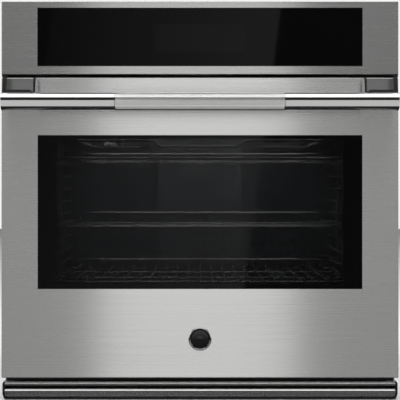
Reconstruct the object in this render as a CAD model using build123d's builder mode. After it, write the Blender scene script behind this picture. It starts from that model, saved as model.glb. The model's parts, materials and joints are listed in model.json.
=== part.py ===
from build123d import *
import os

# A 30-inch-class single wall oven.  Millimetres, +X to the right as seen from the room,
# the front faces -Y, +Z up.  The origin is the middle of the bounding box, at its bottom.

os.makedirs("parts", exist_ok=True)

# ------------------------------------------------------------------ driving dimensions
WIDTH = 756.0  # door and control fascia
HEIGHT = 759.0  # feet to the top of the fascia
BODY_DEPTH = 581.0  # front frame to rear panel
DOOR_THICK = 41.0
HANDLE_REACH = 58.0  # door face to the foremost line of the handle
FASCIA_HEIGHT = 139.3
TRIM_HEIGHT = 32.5  # vent trim under the door
INSULATION = 30.0
SHEET = 1.2  # formed sheet of the door, fascia and liner
PANEL_SHEET = 1.0  # galvanised outer panels
FRAME_SHEET = 1.5
GLASS = 4.0
HANDLE_RADIUS = 17.0

# ------------------------------------------------------------------ named clearances
DOOR_GAP = 3.0  # closed door to the front frame
AIR_GAP = 6.3  # door top to fascia, where the cooling air comes out
TRIM_GAP = 7.5  # vent trim to the door's lower edge
FACE_OVERLAP = 19.5  # how far the door and fascia cover the cabinet beside the body
RAIL_SETBACK = 4.0  # mounting rail edge inside the door's edge
SIDE_AIR = 6.3  # outer panel to insulation
REST_GAP = 0.3  # between pieces that meet softly or slide
RUN_FIT = 0.05  # radial clearance of a shaft in its bearing
SCREW_FIT = 0.25  # radial clearance of a screw in a sheet hole

# ------------------------------------------------------------------ planes across the depth
TOTAL_DEPTH = BODY_DEPTH + DOOR_GAP + DOOR_THICK + HANDLE_REACH
HANDLE_FRONT_Y = -TOTAL_DEPTH / 2
FACE_Y = HANDLE_FRONT_Y + HANDLE_REACH
DOOR_BACK_Y = FACE_Y + DOOR_THICK
FRAME_Y = DOOR_BACK_Y + DOOR_GAP
FRAME_BACK_Y = FRAME_Y + FRAME_SHEET
REAR_Y = FRAME_Y + BODY_DEPTH
REAR_INNER_Y = REAR_Y - PANEL_SHEET

# ------------------------------------------------------------------ heights
FOOT_HEIGHT = 14.0
BASE_Z = FOOT_HEIGHT
TRIM_Z = 2.0
TRIM_TOP_Z = TRIM_Z + TRIM_HEIGHT
DOOR_Z = TRIM_TOP_Z + TRIM_GAP
FASCIA_Z = HEIGHT - FASCIA_HEIGHT
DOOR_TOP_Z = FASCIA_Z - AIR_GAP
BODY_TOP_Z = HEIGHT - 17.0
SHELF_Z = FASCIA_Z - 19.7
CAVITY_TOP_Z = FASCIA_Z - 84.7
CAVITY_Z = DOOR_Z + 76.0
BAKE_SPACE = 18.8  # room for the hidden bake element under the cavity floor

# ------------------------------------------------------------------ half widths
HALF = WIDTH / 2
BODY_X = HALF - FACE_OVERLAP
RAIL_X = HALF - RAIL_SETBACK
PANEL_X = BODY_X - PANEL_SHEET  # inside face of a side panel
INSULATION_X = PANEL_X - SIDE_AIR
LINER_X = INSULATION_X - INSULATION
CAVITY_X = LINER_X - SHEET

# ------------------------------------------------------------------ cavity
CAVITY_BACK_Y = REAR_Y - 92.5
LINER_BACK_Y = CAVITY_BACK_Y + SHEET
INSULATION_BACK_Y = LINER_BACK_Y + INSULATION
INSULATION_Z = CAVITY_Z - SHEET - BAKE_SPACE - INSULATION
INSULATION_TOP_Z = CAVITY_TOP_Z + SHEET + INSULATION

# ------------------------------------------------------------------ racks and their ladders
RUNG_PITCH = 27.0
RUNG_COUNT = 11
LOWEST_RACK_Z = CAVITY_Z + 94.0  # the rung that carries the lowest rack
RUNG_RADIUS = 2.5
RACK_RAIL = 3.0  # radius of a rack's border wire
RACK_WIRE = 1.5
RACK_STOP = 20.0  # height of the raised rear rail
RACK_X = CAVITY_X - 20.0  # centre of a rack's side wire
RACK_FRONT_Y = FRAME_Y + 29.5
BAFFLE_DEPTH = 34.0
RACK_BACK_Y = CAVITY_BACK_Y - BAFFLE_DEPTH - 10.0
RACK_STEPS = {"rack_lower": 0, "rack_middle": 4, "rack_upper": 9}

# ------------------------------------------------------------------ convection fans
FAN_Z = {"fan_lower": CAVITY_Z + 167.0, "fan_upper": CAVITY_TOP_Z - 73.0}
FAN_RADIUS = 52.0
FAN_DEPTH = 22.0
SHAFT_RADIUS = 4.0
ELEMENT_RADIUS = 3.0
ELEMENT_LOOP = FAN_RADIUS + 8.0
TERMINAL_X = 130.0  # element terminals, outside the fans' cover

# ------------------------------------------------------------------ door hinge
PIVOT_Y = FACE_Y + 14.0
PIVOT_Z = DOOR_Z + 12.0
PIVOT_PIN = 4.0
HINGE_X = HALF - 48.0
ARM_THICK = 4.0
ARM_HEIGHT = 12.0
ARM_LENGTH = 110.0
CHANNEL_WIDTH = 16.0
CHANNEL_SHEET = 2.0
CHANNEL_HEIGHT = 204.0

# ------------------------------------------------------------------ door window
WINDOW_X = HALF - 69.0
WINDOW_Z = (DOOR_Z + 169.0, DOOR_TOP_Z - 109.4)
GLASS_LAP = 6.0  # how far the outer glass reaches behind the skin
VIEW_X = HALF - 95.0  # opening in the door liner
VIEW_Z = (WINDOW_Z[0] - 0.5, WINDOW_Z[1] + 4.0)

# ------------------------------------------------------------------ handle
HANDLE_Y = HANDLE_FRONT_Y + HANDLE_RADIUS
HANDLE_Z = DOOR_TOP_Z - 48.4
BAR_RADIUS = HANDLE_RADIUS - 0.3
SLEEVE_LENGTH = 319.0
SLEEVE_BORE = HANDLE_RADIUS - 2.0
POST_IN_X = HALF - 69.4
POST_OUT_X = HALF - 7.0
POST_TOP_Z = DOOR_TOP_Z - 2.4
POST_Z = HANDLE_Z - 13.0

# ------------------------------------------------------------------ top compartment
BLOWER_Y = REAR_Y - 150.0
BLOWER_RADIUS = 62.0
BLOWER_HEIGHT = 36.0
DUCT_HEIGHT = 30.0
VENT_AT = (150.0, FRAME_Y + 180.0)
VENT_RADIUS = 14.0
LAMP_X = CAVITY_X - 110.0
LAMP_Y = 60.0
LAMP_RADIUS = 20.5
PROBE_AT = (-(CAVITY_X - 110.0), CAVITY_TOP_Z - 32.0)
BROIL_Z = CAVITY_TOP_Z - 38.0
LATCH_AT = (-90.0, FRAME_Y + 34.5)
LATCH_Z = INSULATION_TOP_Z + 8.0
SWITCH_AT = (110.0, LATCH_Z + 15.0)
CONDUIT_RADIUS = 11.1
CONDUIT_AT = (PANEL_X - 95.0, SHELF_Z + 42.0)
RAIL_HOLE = 2.5
RAIL_HOLE_X = (BODY_X + RAIL_X) / 2
RAIL_HOLES_Z = (DOOR_Z + 108.0, DOOR_Z + 458.0)
SLOT_X = HALF - 88.0  # half length of the cooling air slot in the frame
TRIM_X = HALF - 1.5
TRIM_CAP = 4.0
BLADE_BROW = 3.4  # height and depth of the slope along the top of a trim blade
BADGE_RADIUS = 22.0
SCREW_RADIUS = 2.0


# ------------------------------------------------------------------ helpers
def span(low, high):
    return (min(low, high), max(low, high))


def block(x, y, z, mode=Mode.ADD):
    """A box between two limits on each axis, inside the BuildPart block that calls it."""
    with Locations(((x[0] + x[1]) / 2, (y[0] + y[1]) / 2, (z[0] + z[1]) / 2)):
        Box(abs(x[1] - x[0]), abs(y[1] - y[0]), abs(z[1] - z[0]), mode=mode)


def rod(start, direction, length, radius, mode=Mode.ADD):
    """A round bar from a point along a direction."""
    with Locations(Plane(origin=start, z_dir=direction)):
        Cylinder(radius, length, align=(Align.CENTER, Align.CENTER, Align.MIN), mode=mode)


def tube_along(points, bend, radius):
    """A bent round bar through the points, with the given corner radii."""
    with BuildLine() as path:
        FilletPolyline(*points, radius=bend)
    with BuildSketch(Plane(origin=path.line @ 0, z_dir=path.line % 0)) as section:
        Circle(radius)
    sweep(sections=section.sketch, path=path.line)


def save(piece, name):
    piece.label = name
    export_step(piece, f"parts/{name}.step")


def both_sides(piece):
    """A left and a right copy, mirrored about the middle plane, as two separate solids."""
    return Compound([*piece.solids(), *mirror(piece, about=Plane.YZ).solids()])


def sides():
    return (-1, 1)


# ------------------------------------------------------------------ base, panels and frame
def make_base_pan():
    with BuildPart() as base_pan:
        block((-PANEL_X, PANEL_X), (FRAME_BACK_Y, REAR_INNER_Y), (BASE_Z, BASE_Z + 26))
        block(
            (-PANEL_X + SHEET, PANEL_X - SHEET),
            (FRAME_BACK_Y + SHEET, REAR_INNER_Y - SHEET),
            (BASE_Z + SHEET, BASE_Z + 27),
            Mode.SUBTRACT,
        )
        # air enters behind the vent trim, through the pan's front wall
        with Locations((0, FRAME_BACK_Y, TRIM_Z + 22.7)):
            with GridLocations(114, 1, 6, 1):
                Box(100, 4 * SHEET, 5.5, mode=Mode.SUBTRACT)
        # cross ribs stiffen the floor
        for rib_y in (-90.0, 60.0, 210.0):
            block((-PANEL_X + 40, PANEL_X - 40), (rib_y - 8, rib_y + 8), (BASE_Z + SHEET, BASE_Z + 7))
    save(base_pan.part, "base_pan")


def make_support_feet():
    with BuildPart() as feet:
        with Locations((0, (FRAME_Y + REAR_Y) / 2, 0)):
            with GridLocations(2 * BODY_X - 110, BODY_DEPTH - 120, 2, 2):
                Box(46, 46, FOOT_HEIGHT, align=(Align.CENTER, Align.CENTER, Align.MIN))
        chamfer(feet.faces().group_by(Axis.Z)[0].edges(), 3)
    save(feet.part, "support_feet")


def make_side_panels():
    for side, name in zip(sides(), ("side_panel_left", "side_panel_right")):
        with BuildPart() as panel:
            block(span(side * PANEL_X, side * BODY_X), (FRAME_BACK_Y, REAR_Y), (BASE_Z, BODY_TOP_Z))
            # louvres beside the top compartment
            middle = (side * PANEL_X, 150, BODY_TOP_Z - 60)
            with BuildSketch(Plane(origin=middle, x_dir=(0, 1, 0), z_dir=(side, 0, 0))):
                with GridLocations(1, 14, 1, 5):
                    SlotOverall(150, 5)
            extrude(amount=PANEL_SHEET, mode=Mode.SUBTRACT)
            # pressed stiffening ribs, standing into the air space
            for rib_z in (BASE_Z + 150, BASE_Z + 330):
                block(
                    span(side * PANEL_X, side * (PANEL_X - 3)),
                    (FRAME_BACK_Y + 60, REAR_Y - 60),
                    (rib_z - 6, rib_z + 6),
                )
        save(panel.part, name)


def make_rear_panel():
    with BuildPart() as rear_panel:
        block((-PANEL_X, PANEL_X), (REAR_INNER_Y, REAR_Y), (BASE_Z, BODY_TOP_Z))
        rod((CONDUIT_AT[0], REAR_INNER_Y - 1, CONDUIT_AT[1]), (0, 1, 0), 4, CONDUIT_RADIUS, Mode.SUBTRACT)
        # louvres into the top compartment and into the space under the cavity
        groups = ((-120, BODY_TOP_Z - 50, 4), (120, BASE_Z + 34, 2), (-120, BASE_Z + 34, 2))
        for centre_x, centre_z, rows in groups:
            louvres = Plane(origin=(centre_x, REAR_INNER_Y, centre_z), x_dir=(1, 0, 0), z_dir=(0, 1, 0))
            with BuildSketch(louvres):
                with GridLocations(80, 12, 3, rows):
                    SlotOverall(68, 5)
            extrude(amount=PANEL_SHEET, mode=Mode.SUBTRACT)
    save(rear_panel.part, "rear_panel")


def make_top_cover():
    with BuildPart() as top_cover:
        block((-PANEL_X, PANEL_X), (FRAME_BACK_Y, REAR_INNER_Y), (BODY_TOP_Z - 12, BODY_TOP_Z))
        block(
            (-PANEL_X + SHEET, PANEL_X - SHEET),
            (FRAME_BACK_Y + SHEET, REAR_INNER_Y - SHEET),
            (BODY_TOP_Z - 13, BODY_TOP_Z - PANEL_SHEET),
            Mode.SUBTRACT,
        )
        with BuildSketch(Plane.XY.offset(BODY_TOP_Z - PANEL_SHEET)):
            with Locations((0, BLOWER_Y + 60)):
                with GridLocations(110, 14, 3, 5):
                    SlotOverall(94, 5)
        extrude(amount=PANEL_SHEET, mode=Mode.SUBTRACT)
        for x, y in cover_screw_points():
            rod((x, y, BODY_TOP_Z - 3), (0, 0, 1), 5, SCREW_RADIUS + SCREW_FIT, Mode.SUBTRACT)
    save(top_cover.part, "top_cover")


def make_front_frame():
    with BuildPart() as front_frame:
        block((-BODY_X, BODY_X), (FRAME_Y, FRAME_BACK_Y), (BASE_Z, BODY_TOP_Z))
        block((-CAVITY_X, CAVITY_X), (FRAME_Y - 1, FRAME_BACK_Y + 1), (CAVITY_Z, CAVITY_TOP_Z), Mode.SUBTRACT)
        # cooling air slot above the door
        air_slot = (DOOR_TOP_Z + 0.6, FASCIA_Z - 0.3)
        block((-SLOT_X, SLOT_X), (FRAME_Y - 1, FRAME_BACK_Y + 1), air_slot, Mode.SUBTRACT)
        # air intake slots behind the vent trim
        with Locations((0, FRAME_Y, TRIM_Z + 22.7)):
            with GridLocations(114, 1, 6, 1):
                Box(100, 4 * FRAME_SHEET, 5.5, mode=Mode.SUBTRACT)
        # slots for the two hinge arms
        for side in sides():
            block(
                (side * HINGE_X - ARM_THICK, side * HINGE_X + ARM_THICK),
                (FRAME_Y - 1, FRAME_BACK_Y + 1),
                (PIVOT_Z - ARM_HEIGHT / 2 - 2, PIVOT_Z + ARM_HEIGHT / 2 + 2),
                Mode.SUBTRACT,
            )
        block(
            (LATCH_AT[0] - 20, LATCH_AT[0] + 54),
            (FRAME_Y - 1, FRAME_BACK_Y + 1),
            (LATCH_Z - 4, LATCH_Z + 4),
            Mode.SUBTRACT,
        )
        rod((SWITCH_AT[0], FRAME_Y - 1, SWITCH_AT[1]), (0, 1, 0), 4, 3.5, Mode.SUBTRACT)
        for x, z in console_screw_points():
            rod((x, FRAME_Y - 1, z), (0, 1, 0), 4, SCREW_RADIUS + SCREW_FIT, Mode.SUBTRACT)
    save(front_frame.part, "front_frame")


def make_mounting_rails():
    with BuildPart() as rail:
        block((BODY_X, RAIL_X), (FRAME_Y, FRAME_Y + 2), (DOOR_Z, BODY_TOP_Z))
        block((BODY_X, BODY_X + SHEET), (FRAME_Y, FRAME_Y + 34), (DOOR_Z, BODY_TOP_Z))
        for hole_z in RAIL_HOLES_Z:
            rod((RAIL_HOLE_X, FRAME_Y - 1, hole_z), (0, 1, 0), 4, RAIL_HOLE, Mode.SUBTRACT)
    save(both_sides(rail.part), "mounting_rails")


# ------------------------------------------------------------------ cavity and heat
def back_wall_holes(depth):
    """Every place where something passes through the cavity's rear wall, as (x, z, radius)."""
    holes = [(0, z, SHAFT_RADIUS + 5) for z in FAN_Z.values()]
    mid = (FAN_Z["fan_lower"] + FAN_Z["fan_upper"]) / 2
    holes += [(-ELEMENT_LOOP, mid + step, ELEMENT_RADIUS + 0.6) for step in (-13, 13)]
    holes += [(side * TERMINAL_X, BROIL_Z, ELEMENT_RADIUS + 0.6) for side in sides()]
    holes += [(PROBE_AT[0], PROBE_AT[1], 3.1)]
    for x, z, radius in holes:
        rod((x, CAVITY_BACK_Y - 1, z), (0, 1, 0), depth, radius, Mode.SUBTRACT)


def ceiling_holes(height, extra):
    for side in sides():
        start = (side * LAMP_X, LAMP_Y, CAVITY_TOP_Z - 1)
        rod(start, (0, 0, 1), height, LAMP_RADIUS + 0.5 + extra, Mode.SUBTRACT)
    start = (*VENT_AT, CAVITY_TOP_Z - 1)
    rod(start, (0, 0, 1), height, VENT_RADIUS + REST_GAP + extra, Mode.SUBTRACT)


def make_cavity_liner():
    flange_y = FRAME_BACK_Y + SHEET
    with BuildPart() as liner:
        block((-LINER_X, LINER_X), (FRAME_BACK_Y, LINER_BACK_Y), (CAVITY_Z - SHEET, CAVITY_TOP_Z + SHEET))
        block(
            (-LINER_X - 14, LINER_X + 14),
            (FRAME_BACK_Y, flange_y),
            (CAVITY_Z - SHEET - 14, CAVITY_TOP_Z + SHEET + 14),
        )
        depth = (FRAME_BACK_Y - 1, CAVITY_BACK_Y)
        block((-CAVITY_X, CAVITY_X), depth, (CAVITY_Z, CAVITY_TOP_Z), Mode.SUBTRACT)
        back_wall_holes(4)
        ceiling_holes(4, 0)
    save(liner.part, "cavity_liner")


def make_insulation():
    fit = REST_GAP
    with BuildPart() as blanket:
        block(
            (-INSULATION_X, INSULATION_X),
            (FRAME_BACK_Y + SHEET + fit, INSULATION_BACK_Y),
            (INSULATION_Z, INSULATION_TOP_Z),
        )
        block(
            (-LINER_X - fit, LINER_X + fit),
            (FRAME_BACK_Y, LINER_BACK_Y + fit),
            (CAVITY_Z - SHEET - BAKE_SPACE, CAVITY_TOP_Z + SHEET + fit),
            Mode.SUBTRACT,
        )
        back_wall_holes(INSULATION + 8)
        ceiling_holes(INSULATION + 8, 8)
        for side in sides():
            start = (side * TERMINAL_X, LINER_BACK_Y - 2, bake_z())
            rod(start, (0, 1, 0), INSULATION + 8, ELEMENT_RADIUS + 0.6, Mode.SUBTRACT)
    save(blanket.part, "insulation_blanket")


def rung_z(step):
    return LOWEST_RACK_Z + (step - 1) * RUNG_PITCH


def rack_z(name):
    return rung_z(RACK_STEPS[name] + 1) + RUNG_RADIUS + RACK_RAIL + REST_GAP


def make_rack_ladders():
    wall_x = CAVITY_X - RUNG_RADIUS
    front, back = RACK_FRONT_Y + 12, CAVITY_BACK_Y - 12
    with BuildPart() as ladder:
        for step in range(RUNG_COUNT):
            z = rung_z(step)
            points = [(wall_x, front, z), (RACK_X, front, z), (RACK_X, back, z), (wall_x, back, z)]
            tube_along(points, 8, RUNG_RADIUS)
        for y in (front, back):
            rod((wall_x, y, rung_z(0) - 16), (0, 0, 1), (RUNG_COUNT - 1) * RUNG_PITCH + 32, RUNG_RADIUS)
    save(both_sides(ladder.part), "rack_ladders")


def make_rack(name):
    """A wire shelf: a flat grid, and the raised rear guard that is butt-welded to its wire ends."""
    z = rack_z(name)
    wire_z = z + 1
    guard_z = z + RACK_STOP
    inner = RACK_X - 22
    weld_x = RACK_X - 13
    weld_y = RACK_BACK_Y - 7
    wires = 22
    pitch = 2 * inner / wires
    wire_places = [-inner + index * pitch for index in range(1, wires)]
    with BuildPart() as grid:
        border = [
            (0, RACK_FRONT_Y, z),
            (RACK_X, RACK_FRONT_Y, z),
            (RACK_X, RACK_BACK_Y, z),
            (weld_x, RACK_BACK_Y, z),
        ]
        tube_along(border, [12, 12], RACK_RAIL)
        mirror(about=Plane.YZ)
        for cross_y in (RACK_FRONT_Y + 135, RACK_BACK_Y - 120):
            rod((-RACK_X, cross_y, z - 1), (1, 0, 0), 2 * RACK_X, RACK_RAIL - 1)
        for x in wire_places:
            rod((x, RACK_FRONT_Y, wire_z), (0, 1, 0), weld_y - RACK_FRONT_Y, RACK_WIRE)
    with BuildPart() as guard:
        rail = [
            (weld_x, RACK_BACK_Y, z),
            (inner, RACK_BACK_Y, z),
            (inner, RACK_BACK_Y, guard_z),
            (0, RACK_BACK_Y, guard_z),
        ]
        tube_along(rail, [8, 8], RACK_RAIL)
        mirror(about=Plane.YZ)
        for x in wire_places:
            points = [(x, weld_y, wire_z), (x, RACK_BACK_Y, wire_z), (x, RACK_BACK_Y, guard_z)]
            tube_along(points, 5, RACK_WIRE)
    save(Compound([*grid.part.solids(), *guard.part.solids()]), name)


def meander(half_x, front, back, inner_x, inner_back, z, rear):
    """Heating element route: two terminals at the rear and a W of straight runs."""
    return [
        (-TERMINAL_X, rear, z),
        (-TERMINAL_X, back, z),
        (-half_x, back, z),
        (-half_x, front, z),
        (-inner_x, front, z),
        (-inner_x, inner_back, z),
        (inner_x, inner_back, z),
        (inner_x, front, z),
        (half_x, front, z),
        (half_x, back, z),
        (TERMINAL_X, back, z),
        (TERMINAL_X, rear, z),
    ]


def bake_z():
    return CAVITY_Z - SHEET - ELEMENT_RADIUS - 0.6


def make_heating_elements():
    front, back = FRAME_Y + 60, CAVITY_BACK_Y - 50
    with BuildPart() as broil:
        route = meander(CAVITY_X - 75, front, back, 90, back - 50, BROIL_Z, INSULATION_BACK_Y + 12)
        tube_along(route, 20, ELEMENT_RADIUS)
        for x in (-TERMINAL_X, TERMINAL_X):
            block((x - 14, x + 14), (CAVITY_BACK_Y - 1.5, CAVITY_BACK_Y), (BROIL_Z - 9, BROIL_Z + 9))
        # hanger straps up to the ceiling
        for x in (-(CAVITY_X - 75), -90, 90, CAVITY_X - 75):
            for y in (front + 70, back - 90):
                block((x - 1, x + 1), (y - 6, y + 6), (BROIL_Z, CAVITY_TOP_Z))
    save(broil.part, "broil_element")

    with BuildPart() as bake:
        route = meander(CAVITY_X - 80, front + 20, back - 20, 85, back - 80, bake_z(), INSULATION_BACK_Y + 12)
        tube_along(route, 22, ELEMENT_RADIUS)
    save(bake.part, "bake_element")


def make_convection_element():
    low, high = FAN_Z["fan_lower"], FAN_Z["fan_upper"]
    mid = (low + high) / 2
    loop_y = CAVITY_BACK_Y - 17
    reach = ELEMENT_LOOP
    with BuildPart() as element:
        route = [
            (-reach, INSULATION_BACK_Y + 10, mid + 13),
            (-reach, loop_y, mid + 13),
            (-reach, loop_y, high + reach),
            (reach, loop_y, high + reach),
            (reach, loop_y, low - reach),
            (-reach, loop_y, low - reach),
            (-reach, loop_y, mid - 13),
            (-reach, INSULATION_BACK_Y + 10, mid - 13),
        ]
        bend = reach - 1
        tube_along(route, [8, bend, bend, bend, bend, 8], ELEMENT_RADIUS)
        block((-reach - 10, -reach + 10), (CAVITY_BACK_Y - 1.5, CAVITY_BACK_Y), (mid - 24, mid + 24))
    save(element.part, "convection_element")


def make_fan_baffle():
    low, high = FAN_Z["fan_lower"] - 71, FAN_Z["fan_upper"] + 67
    front = CAVITY_BACK_Y - BAFFLE_DEPTH
    half = 96.0
    mid = (FAN_Z["fan_lower"] + FAN_Z["fan_upper"]) / 2
    with BuildPart() as baffle:
        with BuildSketch(Plane(origin=(0, front, (low + high) / 2), x_dir=(1, 0, 0), z_dir=(0, 1, 0))):
            RectangleRounded(2 * half, high - low, 20)
        extrude(amount=BAFFLE_DEPTH)
        middle = (0, front + SHEET, (low + high) / 2)
        with BuildSketch(Plane(origin=middle, x_dir=(1, 0, 0), z_dir=(0, 1, 0))):
            RectangleRounded(2 * (half - SHEET), high - low - 2 * SHEET, 20 - SHEET)
        extrude(amount=BAFFLE_DEPTH, mode=Mode.SUBTRACT)
        # each fan breathes in through two rings of slots
        for z in FAN_Z.values():
            with BuildSketch(Plane(origin=(0, front - 1, z), x_dir=(1, 0, 0), z_dir=(0, 1, 0))):
                with PolarLocations(42, 24):
                    SlotOverall(18, 4)
                with PolarLocations(21, 12):
                    SlotOverall(14, 4)
                Circle(7)
            extrude(amount=4, mode=Mode.SUBTRACT)
            with BuildSketch(Plane(origin=(0, front, z), x_dir=(1, 0, 0), z_dir=(0, 1, 0))):
                Circle(58)
                Circle(55, mode=Mode.SUBTRACT)
            extrude(amount=-2)
        # pressed crease between the two grilles
        block((-half + 22, half - 22), (front - 1.5, front), (mid - 1.5, mid + 1.5))
        # hot air leaves along both sides
        side = (-half - 1, CAVITY_BACK_Y - 15, (low + high) / 2)
        outlets = Plane(origin=side, x_dir=(0, 1, 0), z_dir=(1, 0, 0))
        with BuildSketch(outlets):
            with GridLocations(1, 34, 1, 8):
                SlotOverall(12, 6)
        extrude(amount=2 * half + 2, mode=Mode.SUBTRACT)
    save(baffle.part, "fan_baffle")


def make_fans():
    wheel_y = CAVITY_BACK_Y - 28
    for name, z in FAN_Z.items():
        with BuildPart() as fan:
            rod((0, wheel_y + FAN_DEPTH, z), (0, -1, 0), 1.5, FAN_RADIUS)
            rod((0, wheel_y + FAN_DEPTH, z), (0, -1, 0), 16, 9)
            rod((0, wheel_y + 10, z), (0, 1, 0), INSULATION_BACK_Y + 26 - wheel_y - 10, SHAFT_RADIUS)
            with BuildSketch(Plane(origin=(0, wheel_y + FAN_DEPTH, z), x_dir=(1, 0, 0), z_dir=(0, -1, 0))):
                with PolarLocations(36, 12):
                    Rectangle(30, 1.5, rotation=35)
            extrude(amount=FAN_DEPTH)
        save(fan.part, name)


def make_fan_motors():
    plate_y = INSULATION_BACK_Y + REST_GAP
    with BuildPart() as motors:
        for z in FAN_Z.values():
            block((-52, 52), (plate_y, plate_y + 2), (z - 40, z + 40))
            rod((0, plate_y, z), (0, 1, 0), 38, 33)
            rod((0, plate_y - 1, z), (0, 1, 0), 30, SHAFT_RADIUS + RUN_FIT, Mode.SUBTRACT)
            with Locations((0, plate_y + 20, z)):
                Box(80, 14, 40)
            rod((0, plate_y - 1, z), (0, 1, 0), 30, SHAFT_RADIUS + RUN_FIT, Mode.SUBTRACT)
    save(motors.part, "fan_motors")


def make_lamps():
    lid = CAVITY_TOP_Z + SHEET
    with BuildPart() as housings:
        for side in sides():
            rod((side * LAMP_X, LAMP_Y, lid), (0, 0, 1), 24, LAMP_RADIUS + 3)
            rod((side * LAMP_X, LAMP_Y, lid), (0, 0, 1), 1.2, LAMP_RADIUS + 7)
            rod((side * LAMP_X, LAMP_Y, lid - 1), (0, 0, 1), 23.5, LAMP_RADIUS + 0.5, Mode.SUBTRACT)
            # the bulb's socket and its glass capsule
            rod((side * LAMP_X, LAMP_Y, lid + 12), (0, 0, 1), 11, 9)
            rod((side * LAMP_X, LAMP_Y, lid + 2), (0, 0, 1), 12, 5)
    save(housings.part, "lamp_housings")

    with BuildPart() as lenses:
        for side in sides():
            rod((side * LAMP_X, LAMP_Y, lid), (0, 0, -1), 10, LAMP_RADIUS)
            rod((side * LAMP_X, LAMP_Y, CAVITY_TOP_Z), (0, 0, -1), 2, LAMP_RADIUS + 4)
            rod((side * LAMP_X, LAMP_Y, lid + 1), (0, 0, -1), 8, LAMP_RADIUS - 2.5, Mode.SUBTRACT)
    save(lenses.part, "lamp_lenses")


def make_temperature_probe():
    x, z = PROBE_AT
    with BuildPart() as probe:
        rod((x, CAVITY_BACK_Y - 95, z), (0, 1, 0), 110, 2.5)
        block((x - 14, x + 14), (CAVITY_BACK_Y - 1.2, CAVITY_BACK_Y), (z - 7, z + 7))
        fillet(probe.faces().sort_by(Axis.Y)[0].edges(), 2)
    save(probe.part, "temperature_probe")


def make_door_gasket():
    with BuildPart() as gasket:
        mouth = (0, FRAME_Y, (CAVITY_Z + CAVITY_TOP_Z) / 2)
        with BuildSketch(Plane(origin=mouth, x_dir=(1, 0, 0), z_dir=(0, -1, 0))):
            RectangleRounded(2 * CAVITY_X + 30, CAVITY_TOP_Z - CAVITY_Z + 30, 18)
            RectangleRounded(2 * CAVITY_X + 12, CAVITY_TOP_Z - CAVITY_Z + 12, 9, mode=Mode.SUBTRACT)
        extrude(amount=DOOR_GAP - REST_GAP)
        fillet(gasket.faces().sort_by(Axis.Y)[0].edges(), 1.2)
    save(gasket.part, "door_gasket")


# ------------------------------------------------------------------ top compartment
def make_component_shelf():
    with BuildPart() as shelf:
        block((-PANEL_X, PANEL_X), (FRAME_BACK_Y, REAR_INNER_Y), (SHELF_Z, SHELF_Z + SHEET))
        block((-PANEL_X, PANEL_X), (FRAME_BACK_Y, FRAME_BACK_Y + SHEET), (SHELF_Z, SHELF_Z + 12))
        rod((*VENT_AT, SHELF_Z - 1), (0, 0, 1), 4, VENT_RADIUS + REST_GAP, Mode.SUBTRACT)
        # the side air spaces open into the top compartment
        for side in sides():
            with Locations((side * (PANEL_X - 12), 30, SHELF_Z)):
                with GridLocations(1, 110, 1, 4):
                    Box(14, 90, 4 * SHEET, mode=Mode.SUBTRACT)
    save(shelf.part, "component_shelf")


def make_vent_tube():
    foot = CAVITY_TOP_Z + SHEET
    with BuildPart() as vent:
        rod((*VENT_AT, CAVITY_TOP_Z), (0, 0, 1), SHELF_Z + 6 - CAVITY_TOP_Z, VENT_RADIUS)
        rod((*VENT_AT, foot), (0, 0, 1), 1.2, VENT_RADIUS + 6)
        bore_start = (*VENT_AT, CAVITY_TOP_Z - 1)
        bore_length = SHELF_Z + 9 - CAVITY_TOP_Z
        rod(bore_start, (0, 0, 1), bore_length, VENT_RADIUS - SHEET, Mode.SUBTRACT)
    save(vent.part, "vent_tube")


def duct_outline(inset):
    front, back = FRAME_BACK_Y + SHEET, BLOWER_Y - BLOWER_RADIUS - 20
    with BuildLine() as outline:
        Polyline(
            (-SLOT_X - 8 + inset, front - inset),
            (-62 + inset, back + inset),
            (62 - inset, back + inset),
            (SLOT_X + 8 - inset, front - inset),
            close=True,
        )
    make_face(outline.line)


def make_air_duct():
    floor = SHELF_Z + SHEET
    with BuildPart() as duct:
        with BuildSketch(Plane.XY.offset(floor)):
            duct_outline(0)
        extrude(amount=DUCT_HEIGHT)
        with BuildSketch(Plane.XY.offset(floor - 1)):
            duct_outline(SHEET)
        extrude(amount=DUCT_HEIGHT + 1 - SHEET, mode=Mode.SUBTRACT)
    save(duct.part, "air_duct")


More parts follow.
